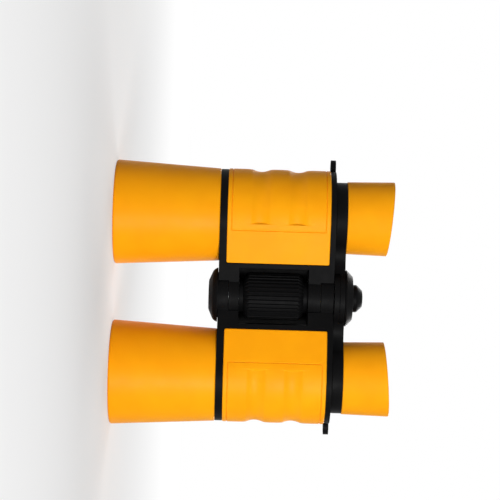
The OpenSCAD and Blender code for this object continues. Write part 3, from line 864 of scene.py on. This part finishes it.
def hinge_cap():
    node = "hinge_cap"
    z0, z1 = heights_of(node)
    r = radius_of(node)
    foot_z = z1 - CAP_FOOT_T
    corners = [(0, z0, 0), (CAP_TIP_R, z0, CAP_ROUND), (CAP_KNEE_R, z1 - CAP_KNEE_T, CAP_KNEE_ROUND)]
    corners += [(r, foot_z, TINY_ROUND), (KNUCKLE_R, foot_z, 0), (KNUCKLE_R, z1, 0), (0, z1, 0)]
    stand_for(turned("hinge_end_cap", corners, hinge_axis(), closed=False), node)


def hub_cap():
    node = "hub_cap"
    z0, z1 = heights_of(node)
    bore_r = radius_of("focus_spindle") + FIT_GAP
    corners = [(bore_r, z0, 0), (radius_of(node), z0, SMALL_ROUND), (HUB_CAP_TIP_R, z1, HUB_CAP_ROUND)]
    corners.append((bore_r, z1, TINY_ROUND))
    stand_for(turned("hub_end_cap", corners, hinge_axis()), node)


def domed_nut():
    node = "domed_nut"
    z0, z1 = heights_of(node)
    r = radius_of(node)
    shoulder_z = z0 + (z1 - z0) * NUT_SHOULDER_SHARE
    crown_r, rise = r * NUT_CROWN_SHARES[0], (z1 - z0) * (1 - NUT_CROWN_SHARES[1])
    dome = [(crown_r * share, z1 - rise * share ** 2, 0) for share in np.linspace(1, 0, NUT_DOME_ROWS)]
    corners = [(0, z0, 0), (r, z0, TINY_ROUND), (r, shoulder_z, NUT_ROUND)] + dome
    stand_for(turned("nut_domed", corners, hinge_axis(), closed=False), node)


def screw_grid():
    """One screw along +z, its head's top at zero, with a crossed recess."""
    radii = np.linspace(0, SCREW_HEAD_R - TINY_ROUND, SCREW_ROWS)
    top = [(r, -SCREW_CROWN * (r / SCREW_HEAD_R) ** 2) for r in radii]
    under = [(SCREW_HEAD_R, -SCREW_CROWN - TINY_ROUND), (SCREW_HEAD_R, -SCREW_HEAD_T)]
    under.append((SCREW_R, -SCREW_HEAD_T))
    low, high = box_mm("left_shell_screws")
    tip = [(SCREW_R, low[1] - high[1]), (0, low[1] - high[1])]
    grid = revolve(top + under + tip)
    x, y = np.abs(grid[..., 0]), np.abs(grid[..., 1])
    across, along = np.minimum(x, y), np.maximum(x, y)
    inside = np.minimum(CROSS_W / 2 - across, CROSS_LEN - along)
    depth = CROSS_DEPTH * smooth(inside / CROSS_SOFT) * (1 - along / CROSS_LEN / 2)
    depth[SCREW_ROWS:] = 0
    grid[..., 2] -= np.maximum(depth, 0)
    return grid


def shell_screws(side):
    node = f"{side}_shell_screws"
    low, high = box_mm(node)
    middle = (low + high) / 2
    grids = []
    for z in (low[2] + SCREW_HEAD_R, middle[2], high[2] - SCREW_HEAD_R):
        grid = screw_grid()
        turned_out = np.stack([grid[..., 0], grid[..., 2], -grid[..., 1]], axis=-1)
        grids.append(turned_out + np.array([middle[0], high[1], z]))
    stand_for(skin(f"{side}_screws", grids, closed=False), node)


def carried_over():
    """CAD nodes that keep their own shape, with softened edges."""
    for side in SIDES:
        soften(f"{side}_front_shell", SHELL_BEVEL)
        soften(f"{side}_back_shell", SHELL_BEVEL)
        soften(f"{side}_eyepiece_arm", ARM_BEVEL)
        soften(f"{side}_eyepiece_tube", INNER_BEVEL)
        soften(f"{side}_optical_tube", INNER_BEVEL)
    for node in ("hinge_pin", "hinge_bush", "wheel_insert"):
        soften(node, INNER_BEVEL)


def seen_by_eye(tree):
    """1 for what the eye sees, straight or in gloss or glass, and 0 for the light that falls on the part."""
    path = add_node(tree, "ShaderNodeLightPath")
    seen = path.outputs["Is Camera Ray"]
    for ray in ("Is Glossy Ray", "Is Transmission Ray"):
        either = add_node(tree, "ShaderNodeMath", operation="MAXIMUM")
        tree.links.new(seen, either.inputs[0])
        tree.links.new(path.outputs[ray], either.inputs[1])
        seen = either.outputs["Value"]
    return seen


def floor_material():
    """Pale floor that keeps a shadow near the part and runs out to white further off."""
    material, tree, shader = blank("pale_floor")
    shader.inputs["Base Color"].default_value = FLOOR
    shader.inputs["Roughness"].default_value = FLOOR_ROUGHNESS
    shader.inputs["Specular IOR Level"].default_value = FLOOR_GLOSS
    coords = add_node(tree, "ShaderNodeTexCoord")
    length = add_node(tree, "ShaderNodeVectorMath", operation="LENGTH")
    tree.links.new(coords.outputs["Object"], length.inputs[0])
    fade = ranged(tree, length.outputs["Value"], FLOOR_FADE, FLOOR_WHITE)
    share = times(tree, seen_by_eye(tree), fade)
    glow = add_node(tree, "ShaderNodeEmission", {"Color": WHITE, "Strength": 1.0})
    mix = add_node(tree, "ShaderNodeMixShader")
    tree.links.new(share, mix.inputs["Fac"])
    tree.links.new(shader.outputs["BSDF"], mix.inputs[1])
    tree.links.new(glow.outputs["Emission"], mix.inputs[2])
    tree.links.new(mix.outputs["Shader"], tree.nodes["Material Output"].inputs["Surface"])
    return material


def floor():
    outline = [(r, 0) for r in FLOOR_RINGS] + [(FLOOR_R, 0)]
    made = skin("floor", [revolve(outline)], closed=False)
    paint(made, floor_material())


def sky():
    """Even light from all round, white to the eye."""
    world = bpy.data.worlds.new("sky")
    bpy.context.scene.world = world
    world.use_nodes = True
    tree = world.node_tree
    background = tree.nodes["Background"]
    background.inputs["Color"].default_value = WHITE
    strength = ranged(tree, seen_by_eye(tree), (0, 1), (SKY_LIGHT, 1))
    tree.links.new(strength, background.inputs["Strength"])


def lamp(name, at, size, power):
    data = bpy.data.lights.new(name, "AREA")
    data.shape = "DISK"
    data.size = size * MM
    data.energy = power
    made = bpy.data.objects.new(name, data)
    bpy.context.scene.collection.objects.link(made)
    made.location = Vector(at) * MM
    aim = Vector(LAMP_AIM) * MM - made.location
    made.rotation_euler = aim.to_track_quat("-Z", "Y").to_euler()


def camera():
    """Looks along +Y with +Z to the right, a little rolled, at the photograph's scale and distance."""
    data = bpy.data.cameras.new("camera")
    data.sensor_width = SENSOR
    data.lens = SENSOR * CAMERA_DISTANCE / (FRAME_PX * PIXEL)
    made = bpy.data.objects.new("camera", data)
    bpy.context.scene.collection.objects.link(made)
    sine, cosine = math.sin(math.radians(ROLL)), math.cos(math.radians(ROLL))
    right = Vector((-sine, 0, cosine))
    up = Vector((-cosine, 0, -sine))
    back = right.cross(up)
    turn = Matrix((right, up, back)).transposed().to_4x4()
    made.matrix_world = Matrix.Translation((Vector(AIM) + back * CAMERA_DISTANCE) * MM) @ turn
    bpy.context.scene.camera = made


def build():
    for side in SIDES:
        grip_panel(side)
        objective_barrel(side)
        objective_lens(side)
        objective_ring(side)
        eyepiece_lens(side)
        eyepiece_ring(side)
        eyecup(side)
        shell_screws(side)
    focus_wheel()
    focus_spindle()
    hinge_cap()
    hub_cap()
    domed_nut()
    carried_over()
    floor()
    sky()
    lamp("key", KEY_AT, KEY_SIZE, KEY_POWER)
    lamp("fill", FILL_AT, FILL_SIZE, FILL_POWER)
    for side, sign in SIDES.items():
        lamp(f"{side}_rim", (sign * RIM_AT[0],) + RIM_AT[1:], RIM_SIZE, RIM_POWER)
    camera()
    bpy.context.scene.view_settings.view_transform = "Standard"


build()
